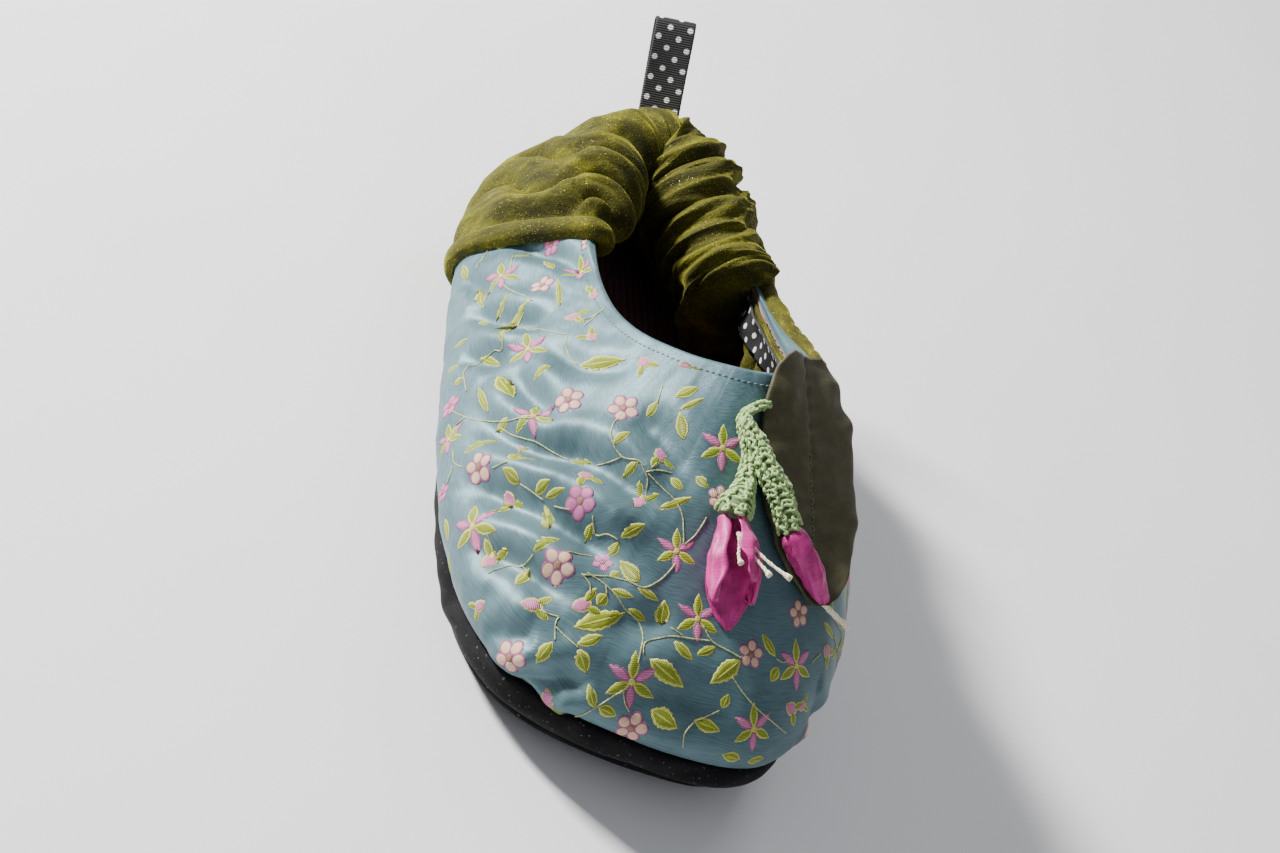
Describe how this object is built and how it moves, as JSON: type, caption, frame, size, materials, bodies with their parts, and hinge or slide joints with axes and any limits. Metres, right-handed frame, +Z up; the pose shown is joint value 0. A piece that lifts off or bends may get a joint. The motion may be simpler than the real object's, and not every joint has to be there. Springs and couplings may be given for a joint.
{
  "type": "soft house slipper, right foot",
  "caption": "Soft right-foot house slipper with a brocade upper, a gathered velvet heel collar, a padded sole, a ribbon pull loop, a silk leaf and fabric flowers.",
  "frame": {"origin": "on the floor, under the middle of the slipper's box", "axes": "+X from heel to toe, +Y toward the inner side of the right foot, +Z up"},
  "size_m": [0.2472, 0.1198, 0.0865],
  "materials": {
    "outsole_suede": "black suede, matt",
    "sole_velvet": "black cotton velvet, matt",
    "lining": "dark burgundy ribbed cloth",
    "brocade": "blue-grey satin brocade with a woven flower vine",
    "olive_velvet": "olive crushed velvet with a fine glitter",
    "dotted_ribbon": "black grosgrain with white dots",
    "leaf_silk": "dark olive slub silk",
    "crochet": "light green crocheted cotton",
    "petal_silk": "fuchsia silk with soft creases",
    "stamen_thread": "cream thread"
  },
  "bodies": {
    "root": {"outsole": "outsole_suede", "padded_sole": "sole_velvet", "footbed": "lining", "upper": "brocade", "heel_piece": "olive_velvet", "collar_facing": "olive_velvet", "collar_ribbon": "dotted_ribbon", "pull_loop": "dotted_ribbon", "leaf": "leaf_silk", "open_flower_stem": "crochet", "open_flower": "petal_silk", "stamen_1": "stamen_thread", "stamen_2": "stamen_thread", "stamen_3": "stamen_thread", "bud_stem": "crochet", "bud": "petal_silk", "bud_stamen": "stamen_thread"}
  },
  "joints": []
}
